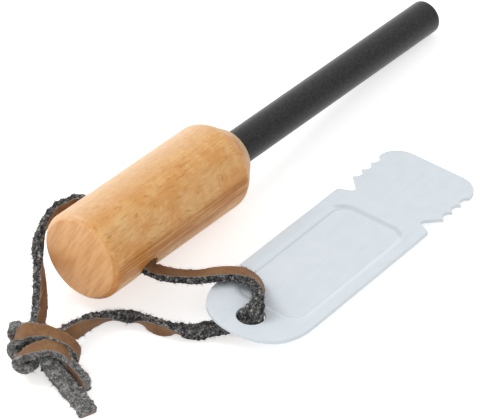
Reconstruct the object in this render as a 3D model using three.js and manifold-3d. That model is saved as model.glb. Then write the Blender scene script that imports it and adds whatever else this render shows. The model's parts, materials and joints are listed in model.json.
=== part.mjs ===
// A ferro rod fire starter: a turned beech handle with a ferrocerium rod glued into it,
// a stamped steel striker, and one leather lace that ties the two together.
// Millimetres, +Z up. The fire starter lies on a table, as it rests by itself: the handle
// on the edge of its shoulder, and the heavy rod nose-down on its tip.
import * as THREE from 'three';
import { mergeVertices } from 'three/addons/utils/BufferGeometryUtils.js';
import Module from 'manifold-3d';

const wasm = await Module();
wasm.setup();

// Driving dimensions of the rod
const rodDiameter = 9.5;
const rodVisibleLength = 86.5;
const rodSeatDepth = 18;
const rodTipRound = 0.9;

// Driving dimensions of the handle
const handleDiameter = 24;
const handleLength = 58.6;
const handleButtRound = 1.4;
const shoulderLength = 7.7;
const handleRimDiameter = 14.4;
const lacingHoleDiameter = 6.8;
const lacingHoleFromButt = 14;
const lacingHoleRoll = THREE.MathUtils.degToRad(28);

// Driving dimensions of the glue between the rod and the wood
const glueWall = 0.35;
const glueClearance = 0.1;
const glueBelowRim = 0.3;

// Driving dimensions of the striker
const strikerThickness = 1;
const strikerWidth = 28.6;
const strikerReach = 81.8;
const strikerHoleDiameter = 7.3;
const strikerHoleEdge = 7.7;
const roundEndLength = 13.5;
const tipCornerRadius = 6.4;
const toothInset = 0.05;
const toothDepth = 1.25;
const toothPitch = 3.95;
const toothCount = 4;
const notchBeforeTeeth = 4.35;
const notchRadius = 1.35;
const notchDepth = 3.8;
const cornerBeforeNotch = 2.3;
const shoulderCornerRadius = 0.8;
const pressDepth = 0.7;
const pressFlankRun = 2.1;
const pressSideMargin = 2.7;
const pressHoleMargin = 0.55;
const pressCornerMargin = 3.5;
const pressCornerRadius = 5.6;
const strikerLift = 6.47;
const strikerTurn = THREE.MathUtils.degToRad(1.76);

// Driving dimensions of the lace, a flat strap
const laceWidth = 4.2;
const laceThickness = 1.9;

// Where the striker's hole lies, counted from the front rim of the handle
const strikerAcross = -40.02;
const strikerAlong = -40.95;

// One overrun for every cut
const cutOverrun = 1;

// How finely the round forms are divided
const roundSegments = 72;
const smallRoundSegments = 48;
const arcSteps = 8;
const shoulderSteps = 8;
const strapStep = 1.3;
const mostStrapSteps = 80;
const strapSectionChamferShare = 0.28;

// The finishes
const beech = new THREE.MeshStandardMaterial({ color: 0xd9a768, roughness: 0.55, metalness: 0 });
const ferrocerium = new THREE.MeshStandardMaterial({ color: 0x2b2b2c, roughness: 0.5, metalness: 0.3 });
const epoxy = new THREE.MeshStandardMaterial({ color: 0x3a2c20, roughness: 0.4, metalness: 0 });
const stainless = new THREE.MeshStandardMaterial({ color: 0xd3dbe2, roughness: 0.25, metalness: 0.9 });
const leather = new THREE.MeshStandardMaterial({ color: 0x8a5a3c, roughness: 0.7, metalness: 0 });

const rodRadius = rodDiameter / 2;
const handleRadius = handleDiameter / 2;
const rimRadius = handleRimDiameter / 2;

// Solids are joined and cut as closed bodies whose shared corners are merged
function solidOf(geometry) {
  const bare = geometry.clone();
  bare.deleteAttribute('normal');
  bare.deleteAttribute('uv');
  const merged = mergeVertices(bare);
  return new wasm.Manifold(new wasm.Mesh({
    numProp: 3,
    vertProperties: new Float32Array(merged.attributes.position.array),
    triVerts: new Uint32Array(merged.index.array),
  }));
}

function geometryOf(solid) {
  const mesh = solid.getMesh();
  const geometry = new THREE.BufferGeometry();
  const stride = mesh.numProp;
  const places = new Float32Array(mesh.numVert * 3);
  for (let i = 0; i < mesh.numVert; i += 1) {
    for (let k = 0; k < 3; k += 1) {
      places[3 * i + k] = mesh.vertProperties[stride * i + k];
    }
  }
  geometry.setAttribute('position', new THREE.BufferAttribute(places, 3));
  geometry.setIndex(new THREE.BufferAttribute(new Uint32Array(mesh.triVerts), 1));
  geometry.computeVertexNormals();
  return geometry;
}

function namedMesh(name, geometry, material) {
  const mesh = new THREE.Mesh(geometry, material);
  mesh.name = name;
  return mesh;
}

// Points on an arc, both ends included
function arc(centreX, centreY, radius, startDegrees, endDegrees, steps) {
  const points = [];
  for (let i = 0; i <= steps; i += 1) {
    const angle = THREE.MathUtils.degToRad(THREE.MathUtils.lerp(startDegrees, endDegrees, i / steps));
    points.push(new THREE.Vector2(centreX + radius * Math.cos(angle), centreY + radius * Math.sin(angle)));
  }
  return points;
}

// A turned piece: the profile gives (radius, place along the axis), and the axis becomes X
function turned(profile, segments) {
  const geometry = new THREE.LatheGeometry(profile, segments);
  geometry.rotateZ(-Math.PI / 2);
  return geometry;
}

// A closed body through rings that all have the same number of points
function lofted(rings, centres) {
  const places = [];
  const faces = [];
  const count = rings[0].length;
  for (const ring of rings) {
    for (const point of ring) places.push(point.x, point.y, point.z);
  }
  for (let r = 0; r + 1 < rings.length; r += 1) {
    for (let i = 0; i < count; i += 1) {
      const j = (i + 1) % count;
      const a = r * count + i;
      const b = r * count + j;
      faces.push(a, b, b + count, a, b + count, a + count);
    }
  }
  const first = places.length / 3;
  places.push(centres[0].x, centres[0].y, centres[0].z, centres[1].x, centres[1].y, centres[1].z);
  const lastRing = (rings.length - 1) * count;
  for (let i = 0; i < count; i += 1) {
    const j = (i + 1) % count;
    faces.push(first, j, i, first + 1, lastRing + i, lastRing + j);
  }
  const geometry = new THREE.BufferGeometry();
  geometry.setAttribute('position', new THREE.Float32BufferAttribute(places, 3));
  geometry.setIndex(faces);
  geometry.computeVertexNormals();
  return geometry;
}

// The handle: turned from one piece, with a rounded butt edge and a shoulder that is a
// plain cone at its front and domes into the full width behind it.
const coneLengthShare = 0.41;
const coneRiseShare = 0.486;
const boreRadius = rodRadius + glueWall + 2 * glueClearance;
const boreDepth = rodSeatDepth + glueWall + 2 * glueClearance;

function shoulderPoints() {
  const rise = handleRadius - rimRadius;
  const coneLength = shoulderLength * coneLengthShare;
  const coneRise = rise * coneRiseShare;
  const meetingRun = (rise - coneRise) * coneLength / coneRise;
  const dome = new THREE.QuadraticBezierCurve(
    new THREE.Vector2(handleRadius, -shoulderLength),
    new THREE.Vector2(handleRadius, -coneLength - meetingRun),
    new THREE.Vector2(rimRadius + coneRise, -coneLength),
  );
  return [...dome.getPoints(shoulderSteps), new THREE.Vector2(rimRadius, 0)];
}

function makeHandle() {
  const butt = -handleLength;
  const buttFaceRadius = handleRadius - handleButtRound;
  const edge = arc(buttFaceRadius, butt + handleButtRound, handleButtRound, -90, 0, arcSteps);
  const profile = [new THREE.Vector2(0, butt), ...edge, ...shoulderPoints(), new THREE.Vector2(0, 0)];
  const bore = new THREE.CylinderGeometry(
    boreRadius, boreRadius, boreDepth + cutOverrun, smallRoundSegments,
  );
  bore.rotateZ(-Math.PI / 2);
  bore.translate((cutOverrun - boreDepth) / 2, 0, 0);
  const lacingHole = new THREE.CylinderGeometry(
    lacingHoleDiameter / 2, lacingHoleDiameter / 2, handleDiameter + 2 * cutOverrun, smallRoundSegments,
  );
  lacingHole.rotateX(lacingHoleRoll);
  lacingHole.translate(lacingHoleFromButt - handleLength, 0, 0);
  const body = solidOf(turned(profile, roundSegments)).subtract(solidOf(bore));
  return geometryOf(body.subtract(solidOf(lacingHole)));
}

// The rod: plain bar with its tip edge just broken
function makeRod() {
  const tip = rodVisibleLength;
  const nose = arc(rodRadius - rodTipRound, tip - rodTipRound, rodTipRound, 0, 90, arcSteps);
  const profile = [
    new THREE.Vector2(0, -rodSeatDepth),
    new THREE.Vector2(rodRadius, -rodSeatDepth),
    ...nose,
    new THREE.Vector2(0, tip),
  ];
  return turned(profile, smallRoundSegments);
}

// The glue: a thin cup that fills the bore round the rod and behind its end
function makeGlue() {
  const inner = rodRadius + glueClearance;
  const outer = inner + glueWall;
  const floor = -rodSeatDepth - glueClearance;
  const profile = [
    new THREE.Vector2(0, floor - glueWall),
    new THREE.Vector2(outer, floor - glueWall),
    new THREE.Vector2(outer, -glueBelowRim),
    new THREE.Vector2(inner, -glueBelowRim),
    new THREE.Vector2(inner, floor),
    new THREE.Vector2(0, floor),
  ];
  return turned(profile, smallRoundSegments);
}

// Half of the striker's outline, from the tip of its round end to its far corner. The
// shoulder corner, the notch, the row of scalloped teeth and the corner follow in turn.
const strikerHalfWidth = strikerWidth / 2;
const toothHalfWidth = strikerHalfWidth - toothInset;
const notchFloorHalfWidth = strikerHalfWidth - notchDepth;
const lastToothReach = strikerReach - tipCornerRadius;
const firstToothReach = lastToothReach - (toothCount - 1) * toothPitch;
const notchReach = firstToothReach - notchBeforeTeeth;
const shoulderReach = notchReach - cornerBeforeNotch;
const roundEndNoseShare = 0.85;
const roundEndSideShare = 0.36;
const shoulderCornerEnd = 15;
const notchStart = 195;
const notchEnd = 320;

function strikerHalfOutline() {
  const nose = -strikerHoleEdge;
  const roundEnd = new THREE.CubicBezierCurve(
    new THREE.Vector2(nose, 0),
    new THREE.Vector2(nose, strikerHalfWidth * roundEndNoseShare),
    new THREE.Vector2(nose + roundEndLength * (1 - roundEndSideShare), strikerHalfWidth),
    new THREE.Vector2(nose + roundEndLength, strikerHalfWidth),
  );
  const points = roundEnd.getPoints(2 * arcSteps);
  points.push(...arc(
    shoulderReach - shoulderCornerRadius, strikerHalfWidth - shoulderCornerRadius,
    shoulderCornerRadius, 90, shoulderCornerEnd, arcSteps / 2,
  ));
  points.push(...arc(
    notchReach, notchFloorHalfWidth + notchRadius, notchRadius, notchStart, notchEnd, arcSteps,
  ));
  const halfPitch = toothPitch / 2;
  const scallopRadius = (halfPitch * halfPitch + toothDepth * toothDepth) / (2 * toothDepth);
  const rise = scallopRadius - toothDepth;
  const half = THREE.MathUtils.radToDeg(Math.atan2(rise, halfPitch));
  for (let i = 0; i + 1 < toothCount; i += 1) {
    const middle = firstToothReach + halfPitch + i * toothPitch;
    const scallop = arc(middle, toothHalfWidth + rise, scallopRadius, 180 + half, 360 - half, arcSteps);
    points.push(...(i ? scallop.slice(1) : scallop));
  }
  const tipCorner = arc(
    lastToothReach, toothHalfWidth - tipCornerRadius, tipCornerRadius, 90, 0, arcSteps,
  );
  points.push(...tipCorner.slice(1));
  return points;
}

function roundedRectangle(lowX, highX, halfWidth, radius, z) {
  const corners = [
    [highX - radius, halfWidth - radius, 0],
    [lowX + radius, halfWidth - radius, 90],
    [lowX + radius, radius - halfWidth, 180],
    [highX - radius, radius - halfWidth, 270],
  ];
  return corners.flatMap(([x, y, start]) => arc(x, y, radius, start, start + 90, arcSteps))
    .map((point) => new THREE.Vector3(point.x, point.y, z));
}

// The thumb recess is pressed into the sheet: a shallow tray on top, and the same shape
// proud underneath. Rings run from the bottom up.
const pressNearReach = strikerHoleDiameter / 2 + pressHoleMargin;
const pressFarReach = shoulderReach - pressCornerMargin;
const pressHalfWidth = strikerHalfWidth - pressSideMargin;

function pressedTray(levels) {
  const middle = (pressNearReach + pressFarReach) / 2;
  const rings = levels.map(([inset, z]) => roundedRectangle(
    pressNearReach + inset, pressFarReach - inset, pressHalfWidth - inset, pressCornerRadius - inset, z,
  ));
  const ends = [levels[0][1], levels[levels.length - 1][1]];
  return lofted(rings, ends.map((z) => new THREE.Vector3(middle, 0, z)));
}

function makeStriker() {
  const half = strikerHalfOutline();
  const mirrored = half.map((point) => new THREE.Vector2(point.x, -point.y));
  const outline = new THREE.Shape([...mirrored, ...half.reverse().slice(0, -1)]);
  const hole = new THREE.Path();
  hole.absarc(0, 0, strikerHoleDiameter / 2, 0, 2 * Math.PI, true);
  outline.holes.push(hole);
  const sheet = new THREE.ExtrudeGeometry(outline, {
    depth: strikerThickness, bevelEnabled: false, curveSegments: smallRoundSegments / 2,
  });
  const overlap = strikerThickness / 2;
  const proud = pressedTray([[pressFlankRun, -pressDepth], [0, 0], [0, overlap]]);
  const flareOut = -pressFlankRun * cutOverrun / pressDepth;
  const tray = pressedTray([
    [pressFlankRun, strikerThickness - pressDepth],
    [0, strikerThickness],
    [flareOut, strikerThickness + cutOverrun],
  ]);
  return geometryOf(solidOf(sheet).add(solidOf(proud)).subtract(solidOf(tray)));
}

// The lace: a strap swept along a route of hand-placed points. Each point also names the way
// that the smooth grain side faces there.
function strap(route) {
  const curve = new THREE.CatmullRomCurve3(route.map((stop) => new THREE.Vector3(...stop.at)));
  const steps = Math.min(mostStrapSteps, Math.round(curve.getLength() / strapStep));
  const halfWide = laceWidth / 2;
  const halfThick = laceThickness / 2;
  const cut = laceThickness * strapSectionChamferShare;
  const section = [
    [halfWide, halfThick - cut], [halfWide - cut, halfThick],
    [cut - halfWide, halfThick], [-halfWide, halfThick - cut],
    [-halfWide, cut - halfThick], [cut - halfWide, -halfThick],
    [halfWide - cut, -halfThick], [halfWide, cut - halfThick],
  ];
  const rings = [];
  const centres = [];
  for (let i = 0; i <= steps; i += 1) {
    const share = curve.getUtoTmapping(i / steps);
    const centre = curve.getPoint(share);
    const along = curve.getTangent(share);
    const place = share * (route.length - 1);
    const from = Math.min(Math.floor(place), route.length - 2);
    const facing = new THREE.Vector3(...route[from].face)
      .lerp(new THREE.Vector3(...route[from + 1].face), place - from);
    facing.addScaledVector(along, -facing.dot(along)).normalize();
    const side = new THREE.Vector3().crossVectors(facing, along);
    rings.push(section.map(([wide, thick]) => centre.clone()
      .addScaledVector(side, wide).addScaledVector(facing, thick)));
    centres.push(centre);
  }
  return { geometry: lofted(rings, [centres[0], centres[steps]]), length: curve.getLength() };
}

// How the fire starter lies: the handle touches the table where its shoulder starts, and
// the rod touches it where its tip rounds off.
const contactRun = shoulderLength + rodVisibleLength - rodTipRound;
const noseDown = Math.atan((handleRadius - rodRadius) / contactRun);
const rimHeight = handleRadius * Math.cos(noseDown) - shoulderLength * Math.sin(noseDown);

const tool = new THREE.Group();
tool.rotation.y = noseDown;
tool.position.z = rimHeight;
tool.add(namedMesh('handle', makeHandle(), beech));
tool.add(namedMesh('rod_adhesive', makeGlue(), epoxy));
tool.add(namedMesh('ferro_rod', makeRod(), ferrocerium));

// The striker lies on the lace under its round end, with its far edge on the table
const strikerSlope = Math.asin(strikerLift / strikerReach);
const strikerPlace = new THREE.Group();
strikerPlace.rotation.set(0, strikerSlope, strikerTurn, 'ZYX');
strikerPlace.position.set(strikerAlong, strikerAcross, strikerLift);
strikerPlace.add(namedMesh('striker_plate', makeStriker(), stainless));

// From the middle of the handle out of its front mouth, over the striker, down the
// striker's hole, back underneath it and on to the knot
const toStriker = [
  { at: [-44.5, -0.1, 14.8], face: [0.10, -0.47, 0.88] },
  { at: [-44.6, -3.7, 12.9], face: [0.25, -0.46, 0.85] },
  { at: [-44.6, -7.4, 10.9], face: [0.30, -0.45, 0.84] },
  { at: [-44.6, -10.8, 9.1], face: [0.27, -0.29, 0.92] },
  { at: [-44.3, -12.8, 9.1], face: [0.12, 0.01, 0.99] },
  { at: [-43.6, -14.6, 9.0], face: [0.16, 0.01, 0.99] },
  { at: [-42.7, -16.4, 8.9], face: [0.19, 0.06, 0.98] },
  { at: [-41.3, -18.5, 8.8], face: [0.21, 0.12, 0.97] },
  { at: [-39.9, -20.6, 8.8], face: [0.22, 0.17, 0.96] },
  { at: [-38.0, -22.6, 8.8], face: [0.19, 0.20, 0.96] },
  { at: [-35.8, -24.3, 8.8], face: [0.15, 0.17, 0.97] },
  { at: [-33.8, -26.2, 8.8], face: [0.15, 0.14, 0.98] },
  { at: [-32.1, -28.4, 8.8], face: [0.18, 0.10, 0.98] },
  { at: [-31.3, -30.8, 8.8], face: [0.28, 0.05, 0.96] },
  { at: [-31.6, -33.4, 8.9], face: [0.50, -0.09, 0.86] },
  { at: [-33.3, -36.2, 9.4], face: [0.69, -0.46, 0.56] },
  { at: [-35.7, -38.5, 9.8], face: [0.62, -0.78, 0.05] },
  { at: [-37.9, -39.8, 9.8], face: [0.52, -0.72, -0.46] },
  { at: [-39.2, -40.4, 8.9], face: [0.75, -0.37, -0.55] },
  { at: [-40.1, -40.5, 7.0], face: [0.92, 0.01, -0.40] },
  { at: [-40.7, -40.1, 5.5], face: [0.85, -0.10, -0.51] },
  { at: [-41.6, -38.6, 4.6], face: [0.55, -0.35, -0.76] },
  { at: [-42.5, -36.5, 4.2], face: [0.25, -0.35, -0.90] },
  { at: [-43.6, -34.4, 3.3], face: [0.05, -0.25, -0.97] },
  { at: [-45.1, -32.3, 2.1], face: [-0.05, -0.30, -0.95] },
  { at: [-46.9, -30.5, 1.4], face: [-0.03, -0.15, -0.99] },
  { at: [-48.6, -29.2, 1.1], face: [-0.06, 0.00, -1.00] },
  { at: [-50.0, -27.9, 1.3], face: [-0.23, 0.00, -0.97] },
  { at: [-51.0, -26.3, 1.6], face: [-0.41, -0.05, -0.91] },
  { at: [-52.5, -25.1, 2.3], face: [-0.71, -0.45, -0.55] },
  { at: [-53.6, -23.1, 2.3], face: [-0.90, -0.40, -0.16] },
  { at: [-54.3, -21.1, 2.2], face: [-0.96, -0.24, -0.11] },
  { at: [-54.6, -19.0, 2.3], face: [-0.96, -0.12, -0.24] },
  { at: [-54.8, -16.9, 2.3], face: [-0.78, -0.12, -0.62] },
  { at: [-54.9, -14.5, 1.8], face: [-0.38, -0.20, -0.90] },
  { at: [-55.7, -12.6, 1.7], face: [-0.33, -0.16, -0.93] },
  { at: [-57.2, -11.0, 2.0], face: [-0.46, -0.34, -0.82] },
  { at: [-58.9, -9.5, 2.2], face: [-0.46, -0.58, -0.67] },
  { at: [-61.0, -8.7, 2.6], face: [-0.36, -0.79, -0.49] },
  { at: [-63.2, -8.0, 3.0], face: [-0.20, -0.95, -0.25] },
  { at: [-66.7, -7.9, 3.9], face: [-0.04, -1.00, 0.05] },
];

// From the middle of the handle out of its back mouth and round the butt to the knot
const toKnot = [
  { at: [-44.5, 0.1, 14.9], face: [0.10, -0.47, 0.88] },
  { at: [-44.3, 3.7, 16.6], face: [-0.30, -0.45, 0.84] },
  { at: [-44.4, 7.4, 18.4], face: [-0.84, -0.30, 0.45] },
  { at: [-44.9, 11.4, 19.9], face: [-0.93, -0.33, -0.19] },
  { at: [-46.1, 13.2, 18.8], face: [-0.67, -0.72, -0.18] },
  { at: [-47.0, 14.2, 17.8], face: [-0.59, -0.77, -0.26] },
  { at: [-48.3, 14.9, 17.0], face: [-0.39, -0.90, -0.15] },
  { at: [-50.2, 15.5, 16.5], face: [-0.13, -0.98, -0.17] },
  { at: [-52.6, 15.7, 15.7], face: [0.15, -0.97, -0.21] },
  { at: [-54.6, 15.6, 14.1], face: [0.43, -0.85, -0.31] },
  { at: [-56.7, 14.9, 12.6], face: [0.64, -0.67, -0.39] },
  { at: [-58.6, 13.4, 11.4], face: [0.72, -0.64, -0.27] },
  { at: [-60.5, 11.6, 10.4], face: [0.71, -0.70, -0.04] },
  { at: [-62.5, 9.6, 9.6], face: [0.65, -0.74, 0.16] },
  { at: [-64.6, 7.6, 8.8], face: [0.60, -0.74, 0.29] },
  { at: [-66.8, 5.6, 8.2], face: [0.57, -0.74, 0.35] },
  { at: [-69.1, 3.6, 7.6], face: [0.52, -0.76, 0.40] },
  { at: [-72.1, 1.3, 7.0], face: [0.50, -0.76, 0.43] },
];

// In the knot each strand runs in, turns back on the left, crosses over as a band, goes down
// on the right and passes underneath. The loose ends come up through the middle.
const backStrand = [
  { at: [-72.4, 1.1, 7.0], face: [0.45, -0.83, 0.35] },
  { at: [-74.5, -0.2, 6.6], face: [0.35, -0.85, 0.40] },
  { at: [-76.0, -1.3, 5.0], face: [0.37, -0.77, 0.52] },
  { at: [-78.5, -3.7, 4.2], face: [0.50, -0.74, 0.45] },
  { at: [-81.1, -5.7, 3.6], face: [0.49, -0.87, -0.04] },
  { at: [-83.6, -6.5, 3.2], face: [0.17, -0.75, -0.64] },
  { at: [-85.8, -6.2, 3.0], face: [-0.18, -0.29, -0.94] },
  { at: [-87.1, -5.0, 3.4], face: [-0.58, 0.22, -0.78] },
  { at: [-86.8, -3.9, 4.4], face: [-0.52, 0.83, 0.21] },
  { at: [-85.8, -4.7, 5.8], face: [-0.30, 0.57, 0.76] },
  { at: [-84.3, -6.1, 7.0], face: [-0.22, 0.33, 0.92] },
  { at: [-82.4, -7.7, 7.7], face: [-0.08, 0.15, 0.99] },
  { at: [-80.7, -9.4, 7.8], face: [0.07, 0.00, 1.00] },
  { at: [-79.8, -11.5, 7.5], face: [0.24, -0.18, 0.95] },
  { at: [-79.4, -13.4, 6.7], face: [0.41, -0.53, 0.74] },
  { at: [-79.0, -14.4, 5.0], face: [0.57, -0.77, 0.29] },
  { at: [-78.8, -14.3, 3.0], face: [0.51, -0.75, -0.42] },
  { at: [-79.0, -12.5, 1.6], face: [0.35, -0.10, -0.93] },
  { at: [-80.0, -10.5, 2.1], face: [0.60, 0.26, -0.76] },
  { at: [-80.5, -7.7, 2.1], face: [0.63, 0.10, -0.77] },
];

const frontStrand = [
  { at: [-67.0, -7.9, 4.0], face: [0.01, -0.99, 0.15] },
  { at: [-69.2, -7.8, 4.4], face: [0.00, -0.97, 0.26] },
  { at: [-71.8, -7.6, 4.8], face: [-0.08, -0.93, 0.35] },
  { at: [-74.5, -7.3, 4.6], face: [-0.09, -0.91, 0.41] },
  { at: [-77.4, -7.3, 4.2], face: [-0.03, -0.95, 0.30] },
  { at: [-80.0, -7.4, 3.6], face: [-0.13, -0.98, -0.12] },
  { at: [-82.1, -6.5, 3.0], face: [-0.28, -0.66, -0.70] },
  { at: [-83.8, -4.7, 2.6], face: [-0.35, -0.21, -0.91] },
  { at: [-84.4, -2.4, 2.9], face: [-0.58, 0.20, -0.79] },
  { at: [-83.9, -0.3, 3.8], face: [-0.71, 0.62, -0.33] },
  { at: [-82.8, 0.6, 5.0], face: [-0.60, 0.68, 0.42] },
  { at: [-81.5, 0.2, 6.4], face: [-0.56, 0.29, 0.77] },
  { at: [-80.1, -1.1, 7.6], face: [-0.51, 0.07, 0.86] },
  { at: [-78.9, -3.0, 8.2], face: [-0.32, 0.01, 0.95] },
  { at: [-78.1, -4.9, 8.3], face: [-0.08, -0.03, 1.00] },
  { at: [-77.4, -6.9, 8.2], face: [0.11, -0.06, 0.99] },
  { at: [-76.8, -8.9, 7.9], face: [0.23, -0.13, 0.97] },
  { at: [-76.4, -11.0, 7.4], face: [0.32, -0.27, 0.91] },
  { at: [-76.2, -12.8, 6.5], face: [0.46, -0.54, 0.70] },
  { at: [-76.1, -13.8, 5.0], face: [0.53, -0.83, 0.15] },
  { at: [-76.5, -13.6, 3.2], face: [0.39, -0.70, -0.59] },
  { at: [-76.6, -11.4, 1.8], face: [0.45, -0.15, -0.88] },
  { at: [-77.0, -8.5, 2.1], face: [0.60, 0.10, -0.79] },
  { at: [-77.2, -4.8, 2.1], face: [0.60, 0.02, -0.80] },
  { at: [-77.3, -1.0, 2.1], face: [0.61, 0.05, -0.79] },
  { at: [-77.7, 2.3, 2.2], face: [0.25, 0.44, -0.87] },
  { at: [-79.1, 3.4, 3.8], face: [-0.15, 0.98, -0.14] },
  { at: [-79.1, 2.5, 5.2], face: [0.98, -0.15, -0.13] },
  { at: [-79.4, -0.4, 5.6], face: [0.74, -0.17, -0.65] },
];

const longEnd = [
  { at: [-80.8, -7.3, 5.0], face: [-0.17, 0.06, -0.98] },
  { at: [-81.9, -10.4, 5.0], face: [-0.04, 0.18, -0.98] },
  { at: [-82.8, -13.3, 4.0], face: [0.12, 0.36, -0.92] },
  { at: [-83.5, -16.1, 2.6], face: [0.13, 0.34, -0.93] },
  { at: [-84.2, -19.3, 1.6], face: [0.08, 0.19, -0.98] },
  { at: [-85.4, -22.9, 1.1], face: [0.02, 0.07, -1.00] },
  { at: [-86.9, -26.9, 1.0], face: [0.01, 0.02, -1.00] },
];

const shortEnd = [
  { at: [-78.5, -8.7, 4.8], face: [-0.93, 0.35, -0.10] },
  { at: [-79.6, -11.6, 4.8], face: [-0.93, 0.29, -0.22] },
  { at: [-80.0, -14.0, 4.2], face: [-0.93, 0.20, -0.30] },
  { at: [-80.2, -16.4, 3.4], face: [-0.93, 0.19, -0.30] },
  { at: [-80.4, -18.6, 2.4], face: [-0.93, 0.27, -0.26] },
  { at: [-81.3, -21.1, 2.3], face: [-0.91, 0.33, -0.24] },
];

// Each strand is joined up from short runs, since it doubles back over itself
const knotRuns = [
  backStrand.slice(0, 7), backStrand.slice(5, 13), backStrand.slice(11),
  frontStrand.slice(0, 8), frontStrand.slice(6, 14), frontStrand.slice(12, 21),
  frontStrand.slice(19, 26), frontStrand.slice(24), longEnd, shortEnd,
];
const knotMiddle = new THREE.Vector3(-80.2, -5.4, 4.1);
const knotCoreRadii = new THREE.Vector3(6.2, 3.6, 3.2);
const knotTurn = THREE.MathUtils.degToRad(-60);

function makeKnot() {
  const core = new THREE.SphereGeometry(1, smallRoundSegments / 2, smallRoundSegments / 4);
  core.scale(knotCoreRadii.x, knotCoreRadii.y, knotCoreRadii.z);
  core.rotateZ(knotTurn);
  core.translate(knotMiddle.x, knotMiddle.y, knotMiddle.z);
  let knot = solidOf(core);
  for (const run of knotRuns) knot = knot.add(solidOf(strap(run).geometry));
  const bodies = knot.decompose();
  return geometryOf(bodies.reduce((a, b) => (a.volume() > b.volume() ? a : b)));
}

const lace = new THREE.Group();
const striking = strap(toStriker);
const knotting = strap(toKnot);
lace.add(namedMesh('lace_to_striker', striking.geometry, leather));
lace.add(namedMesh('lace_to_knot', knotting.geometry, leather));
lace.add(namedMesh('lace_knot', makeKnot(), leather));
console.log('lace stretches', striking.length.toFixed(1), knotting.length.toFixed(1));

// The origin is on the table, under the middle of everything but the lace
const rigid = new THREE.Group();
rigid.add(tool, strikerPlace);
rigid.updateMatrixWorld(true);
const rigidBox = new THREE.Box3().setFromObject(rigid, true);
const middle = rigidBox.getCenter(new THREE.Vector3());

const fireStarter = new THREE.Group();
fireStarter.add(rigid, lace);
fireStarter.position.set(-middle.x, -middle.y, -rigidBox.min.z);
console.log('origin moved by', fireStarter.position.toArray().map((v) => v.toFixed(3)).join(' '));
console.log('nose down', THREE.MathUtils.radToDeg(noseDown).toFixed(3),
  'striker slope', THREE.MathUtils.radToDeg(strikerSlope).toFixed(3));

export default fireStarter;
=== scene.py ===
# %% [markdown]
# # A ferro rod fire starter
# A turned beech handle holds a black ferrocerium rod. A stamped steel striker hangs on a flat
# leather lace, which goes through the handle and the striker and ends in one knot.
#
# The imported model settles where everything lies. This script makes the surfaces that one sees.

import json
import math
import random

import bmesh
import bpy
import numpy as np
from mathutils import Matrix, Vector, noise
from mathutils.geometry import tessellate_polygon


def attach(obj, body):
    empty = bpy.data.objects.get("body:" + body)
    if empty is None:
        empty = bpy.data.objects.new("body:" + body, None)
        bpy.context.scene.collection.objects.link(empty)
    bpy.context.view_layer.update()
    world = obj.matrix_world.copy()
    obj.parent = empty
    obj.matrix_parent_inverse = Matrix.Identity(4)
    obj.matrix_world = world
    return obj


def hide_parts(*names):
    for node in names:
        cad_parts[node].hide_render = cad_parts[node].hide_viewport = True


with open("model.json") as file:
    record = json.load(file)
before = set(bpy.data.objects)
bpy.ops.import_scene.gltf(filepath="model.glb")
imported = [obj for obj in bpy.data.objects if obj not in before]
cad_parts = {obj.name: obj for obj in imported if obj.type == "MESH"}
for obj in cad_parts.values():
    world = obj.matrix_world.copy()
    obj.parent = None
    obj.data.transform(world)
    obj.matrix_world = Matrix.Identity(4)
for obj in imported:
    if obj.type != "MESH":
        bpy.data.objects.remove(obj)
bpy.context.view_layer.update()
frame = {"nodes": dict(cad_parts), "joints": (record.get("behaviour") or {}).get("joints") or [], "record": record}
MM = 0.001
print("nodes:", sorted(frame["nodes"]))

# %% [markdown]
# ## The camera
# The picture looks down on the table from over the butt of the handle. Its lines hardly draw
# together with distance, so the lens is long and stands nearly a metre away. A camera looks
# down its own -Z axis, so three turns aim it: round the compass, up, and a small roll.

# %% Set up the camera
CAMERA_PLACE = Vector((-551.85, -412.54, 588.64)) * MM
CAMERA_TURN = math.radians(-51.396)
CAMERA_DOWN = math.radians(40.776)
CAMERA_ROLL = math.radians(0.178)
CAMERA_LENS = 262.5

camera = bpy.data.objects.new("camera", bpy.data.cameras.new("camera"))
camera.data.sensor_fit = "HORIZONTAL"
camera.data.lens = CAMERA_LENS
turn = Matrix.Rotation(CAMERA_TURN, 4, "Z")
tip = Matrix.Rotation(math.pi / 2 - CAMERA_DOWN, 4, "X")
roll = Matrix.Rotation(CAMERA_ROLL, 4, "Z")
camera.matrix_world = Matrix.Translation(CAMERA_PLACE) @ turn @ tip @ roll
bpy.context.scene.collection.objects.link(camera)
bpy.context.scene.camera = camera
print("camera at", [round(x, 3) for x in camera.location])

# %% [markdown]
# ## Two places to build in
# The tool and the striker are easier to make lying straight, each in a frame of its own, and
# then set down by their objects' matrices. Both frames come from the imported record: the butt
# and the rod's tip give the tool's line, and the swivel gives the striker's hole and its normal.

# %% Find the tool's frame and the striker's frame
HANDLE_LENGTH = 58.6 * MM


def frame_of(origin, along, up):
    """A matrix that puts a piece's own X along one direction and its Z near another."""
    x = along.normalized()
    y = up.cross(x).normalized()
    z = x.cross(y)
    return Matrix.Translation(origin) @ Matrix((x, y, z)).transposed().to_4x4()


mounts = {mount["name"]: mount for mount in frame["record"]["mounts"]}
butt = Vector(mounts["handle_butt"]["pos_m"])
forward = (Vector(mounts["rod_tip"]["pos_m"]) - butt).normalized()
rim = butt + forward * HANDLE_LENGTH
tool_frame = frame_of(rim, forward, Vector((0, 0, 1)))

swivel = frame["joints"][0]
hole_place = Vector(swivel["pos_m"])
sheet_up = Vector(swivel["axis"]).normalized()
toward_thumb = Vector(mounts["striker_thumb_recess"]["pos_m"]) - hole_place
toward_thumb -= sheet_up * toward_thumb.dot(sheet_up)
striker_frame = frame_of(hole_place, toward_thumb, sheet_up)
print("rim in mm:", [round(x / MM, 2) for x in rim])

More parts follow.
